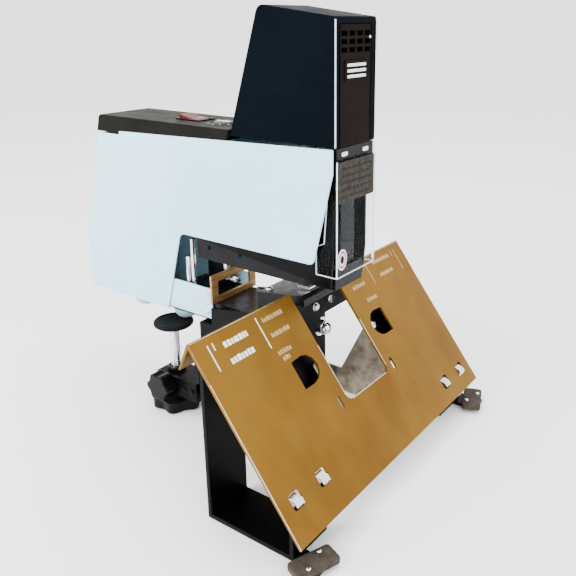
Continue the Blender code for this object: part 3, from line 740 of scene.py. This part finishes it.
def makeTableEdges():
    # pale strips on the sheet's sheared edges down both ends and round the notch, and a painted highlight
    # along the ridge fold
    half, notchHalf, notch = table["half"], table["notchHalf"], table["notch"]
    bm = bmesh.new()
    for tag, side in flanks:
        stroke(bm, (2.0, table["length"]), across(side, half - 0.75, half), 0.0, 0.08)
        # painted highlight: a pale strip along the ridge fold
        stroke(bm, (1.4, 2.3), across(side, half - 0.55, notchHalf + 1.1), -0.1, 0.16)
        stroke(bm, (2.0, notch - 5.1), across(side, notchHalf, notchHalf + 0.65), 0.0, 0.07)
    stroke(bm, (notch, notch + 0.6), (5.1 - notchHalf, notchHalf - 5.1), 0.0, 0.07)
    made("cutEdgesAndRidgeHighlight", bm, "cutEdge", place=slope, slot="brass_plate")


lug = {"width": 9.8, "rise": 2.6, "sheet": 1.1, "length": 9.6, "sunk": 1.9, "steps": 8, "cut": 1.6,
       "centres": (98.0, 130.0), "start": {"Right": 130.8, "Left": 140.8}}   # lower down on the left ear


def makeLugs():
    # plated lug folded up through each window to catch the sheet stops
    half = lug["width"] / 2
    for tag, side in flanks:
        start = lug["start"][tag]
        line = []
        for k in range(lug["steps"] + 1):
            s = k / lug["steps"]
            lift = (lug["rise"] + lug["sunk"]) * math.sin(math.pi * s * 0.62)
            line.append((start + lug["length"] * s, lift - lug["sunk"]))
        under = [(x + 0.2, z - lug["sheet"]) for x, z in reversed(line)]
        for number, centre in enumerate(lug["centres"], 1):
            y = side * centre
            bm = bmesh.new()
            loft(bm, line + under, y - half, y + half - lug["cut"], "Y")
            block(bm, (start + 5.2, start + 10.4), (y + half - 1.4, y + half), (-2.4, 1.2))
            made("stopLug" + tag + str(number), bm, "chromePlate", place=slope, bevel=0.3, slot="chrome")


stud = {"x": (48.0, 82.0), "outer": 78.0, "wall": 76.4, "plate": (-12.0, -10.4), "rise": (-10.3, -1.7),
        "start": {"Right": 38.5, "Left": 47.0}, "screw": (62.0, 55.5, -10.4), "radius": 4.2, "head": 3.4}


def makeTableStud():
    # a bracket behind each round opening, and the screw seen through the left one
    for tag, side in flanks:
        bm = bmesh.new()
        block(bm, stud["x"], across(side, stud["start"][tag], stud["outer"]), stud["plate"])
        block(bm, stud["x"], across(side, stud["wall"], stud["outer"]), stud["rise"])
        made("studBracket" + tag, bm, "standEnamel", place=slope, bevel=0.3, slot="black_steel")
    place = slope @ Matrix.Translation(stud["screw"])
    screw("studScrew", (0, 0, 0), place, stud["radius"], head=stud["head"])


def nut(name, point, way, radius, thick, dome=0.0):
    # hexagon nut or bolt head on a washer, with a domed cap where it has one
    r = radius
    bm = bmesh.new()
    lathe(bm, [(0.0, 0.0), (r * 1.25, 0.0), (r * 1.25, 0.7), (0.0, 0.7)], 28)
    corners = [math.radians(60 * k) for k in range(6)]
    loft(bm, [(r * math.cos(a), r * math.sin(a)) for a in corners], 0.75, thick)
    if dome:
        lathe(bm, [(0.0, thick - 0.2), (r * 0.8, thick - 0.2), (r * 0.78, thick + dome * 0.4),
                   (r * 0.6, thick + dome * 0.8), (r * 0.3, thick + dome), (0.0, thick + dome * 1.03)], 24)
    place = Matrix.Translation(Vector(point)) @ facing[way]
    return made(name, bm, "chromePlate", place=place, bevel=0.2, slot="chrome")


outward = {"Right": "right", "Left": "left"}
stand = {"channelNut": (-8.9, 26.0, 100.0), "crossBolts": {"A": -22.0, "B": 6.0, "C": 30.0}, "boltZ": 129.0,
         "gussetY": 36.5, "gussetScrews": ((-28.0, 46.0), (-14.0, 46.0), (36.0, 60.0)),
         "padTop": 8.35, "padScrews": {"Inner": (100.0, 127.0), "Outer": (104.0, 145.0)}, "legY": 118.0}
bracket = {"face": -44.1, "z": 28.0, "top": 38.1, "collar": 9.0, "bore": 5.2,
           "turns": 10, "thread": 43.5, "pitch": 1.6}


def makeStandDetails():
    nut("channelNut", stand["channelNut"], "front", 7.4, 5.0, 6.5)
    for tag, y in stand["crossBolts"].items():
        nut("crossBarBolt" + tag, (0.1, y, stand["boltZ"]), "front", 3.2, 2.6)
    for tag, side in flanks:
        for number, (x, z) in enumerate(stand["gussetScrews"]):
            screw("gussetScrew" + tag + str(number), (x, side * stand["gussetY"], z), outward[tag], 3.0)
        for end, (x, y) in stand["padScrews"].items():
            screw("padScrew" + end + tag, (x, side * y, stand["padTop"]), "up", 1.9, "trimSilver",
                  "pad_" + tag.lower())
        screw("legBolt" + tag, (0.2, side * stand["legY"], stand["boltZ"]), "back", 3.6)
    face, z = bracket["face"], bracket["z"]
    screw("bracketScrewA", (-114.0, face, z), "right", 3.0, "knobPlastic")
    screw("bracketScrewB", (-124.0, face, z), "right", 2.4, "knobPlastic", slotted=True)
    low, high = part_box("support_rod")
    rod = (((low.x + high.x) / 2 - driverLine) / mm, (low.y + high.y) / 2 / mm, 0.0)
    top, collar, bore = bracket["top"], bracket["collar"], bracket["bore"]
    profile = [(bore, top), (collar, top), (collar, top + 3.4), (collar - 0.9, top + 4.5), (bore, top + 4.5)]
    bm = bmesh.new()
    lathe(bm, profile, 32, rod)
    made("rodCollar", bm, "knobPlastic", slot="black_plastic")
    bm = bmesh.new()
    for k in range(bracket["turns"]):
        z = bracket["thread"] + bracket["pitch"] * k
        lathe(bm, [(4.95, z), (5.25, z + 0.3), (4.95, z + 0.6)], 28, rod)
    made("rodThread", bm, "chromePlate", "support", slot="chrome")


throat = {"nut": (-106.0, -17.0), "blockScrew": (-120.0, 12.0, 156.1), "anvilScrews": {"B": -18.0, "C": 18.0},
          "anvilX": -33.0, "anvilTop": 146.5, "rod": (-129.0, -23.0, 0.0), "rodRadius": 2.2, "rodTop": 159.8,
          "railScrews": (-104.0, -66.0, -28.0), "railY": 20.05, "railZ": 172.0}


def makeThroatDetails():
    armTop = heightOf("lower_arm")
    nut("throatNut", (*throat["nut"], armTop), "up", 6.0, 6.0, 4.0)
    screw("throatScrewA", throat["blockScrew"], "up", 3.4)
    for tag, y in throat["anvilScrews"].items():
        screw("throatScrew" + tag, (throat["anvilX"], y, throat["anvilTop"]), "up", 3.2)
    r, top = throat["rodRadius"], throat["rodTop"]
    profile = [(0.0, armTop), (r, armTop), (r, top - 1.8), (r - 0.8, top - 0.3), (0.0, top)]
    bm = bmesh.new()
    lathe(bm, profile, 20, throat["rod"])
    made("secondRod", bm, "chromePlate", slot="chrome")
    for k, x in enumerate(throat["railScrews"]):
        screw("railScrew" + str(k), (x, -throat["railY"], throat["railZ"]), "right", 2.2, "knobPlastic")
        screw("railScrewFar" + str(k), (x, throat["railY"], throat["railZ"]), "left", 2.2, "knobPlastic")


casing = {"rearScrews": {"A": -18.0, "B": 18.0}, "rearX": -254.5, "rearZ": 194.0, "rearLean": -75,
          "panelX": -101.0, "panelY": 28.25, "panelScrews": {"A": 129.0, "B": 111.0},
          "baseX": (-224.0, -172.0), "baseY": {"R": -22.0, "L": 22.0}}


def makeCasingDetails():
    lean = Matrix.Rotation(math.radians(casing["rearLean"]), 4, "Y")
    for tag, y in casing["rearScrews"].items():
        screw("rearScrew" + tag, (casing["rearX"], y, casing["rearZ"]), lean, 2.8)
    for tag, side in flanks:
        for letter, z in casing["panelScrews"].items():
            point = (casing["panelX"], side * casing["panelY"], z)
            screw("panelScrew" + letter + tag, point, outward[tag], 2.2)
    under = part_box("base_plate")[0].z / mm - proud
    for x in casing["baseX"]:
        for tag, y in casing["baseY"].items():
            screw("baseScrew" + str(int(-x)) + tag, (x, y, under), "down", 2.6)


for step in (makeTowerTrimAndHighlight, makeBadge, makeGuardFixings, makeGuardLabel, makeGuardEdgeHighlights, makeControls,
             makeTableMarks, makeTableEdges, makeLugs, makeTableStud, makeStandDetails, makeThroatDetails,
             makeCasingDetails):
    step()
    print("made:", step.__name__)

studio = {"floorHalf": 3.0, "floorDrop": 0.5, "background": (1.0, 1.0, 1.0), "backgroundLight": 2.4,
          "aim": (0.0, 0.0, 0.2),
          "lamps": (("key", (-0.7, -1.6, 1.1), 1.2, 55.0), ("fill", (1.6, -0.5, 0.9), 1.4, 18.0),
                    ("top", (0.0, 0.2, 1.9), 1.6, 26.0))}


def makeStudio():
    # places in the studio and of the camera are in metres
    bm = bmesh.new()
    r = studio["floorHalf"]
    bm.faces.new([bm.verts.new(p) for p in ((-r, -r, 0), (r, -r, 0), (r, r, 0), (-r, r, 0))])
    mesh = bpy.data.meshes.new("floor")
    bm.to_mesh(mesh)
    bm.free()
    mesh.materials.append(makeFloor())
    floor = bpy.data.objects.new("floor", mesh)
    floor.location.z = -studio["floorDrop"] * mm
    bpy.context.scene.collection.objects.link(floor)
    world = bpy.data.worlds.new("studio")
    bpy.context.scene.world = world
    world.use_nodes = True
    sky = world.node_tree.nodes["Background"]
    sky.inputs["Color"].default_value = (*studio["background"], 1.0)
    sky.inputs["Strength"].default_value = studio["backgroundLight"]
    for name, place, size, power in studio["lamps"]:
        light = bpy.data.lights.new(name, "AREA")
        light.size = size
        light.energy = power
        source = bpy.data.objects.new(name, light)
        source.location = place
        aim = Vector(studio["aim"]) - Vector(place)
        source.rotation_euler = aim.to_track_quat("-Z", "Y").to_euler()
        bpy.context.scene.collection.objects.link(source)


view = {"fromDriver": (0.3433, -0.4584, 0.3777), "forward": (-0.5366, 0.7866, -0.3054),
        "roll": 0.21, "lens": 43.44, "sensor": 36.0, "shift": (-0.0900, -0.0842)}


def makeCamera():
    lens = bpy.data.cameras.new("camera")
    lens.lens = view["lens"]
    lens.sensor_width = view["sensor"]
    lens.shift_x, lens.shift_y = view["shift"]
    lens.clip_start = 0.01
    camera = bpy.data.objects.new("camera", lens)
    camera.location = Vector(view["fromDriver"]) + Vector((driverLine, 0, 0))
    look = Vector(view["forward"]).to_track_quat("-Z", "Y").to_matrix()
    roll = Matrix.Rotation(math.radians(view["roll"]), 3, "Z")
    camera.rotation_euler = (look @ roll).to_euler()
    bpy.context.scene.collection.objects.link(camera)
    bpy.context.scene.camera = camera


makeStudio()
makeCamera()
print("studio and camera made")
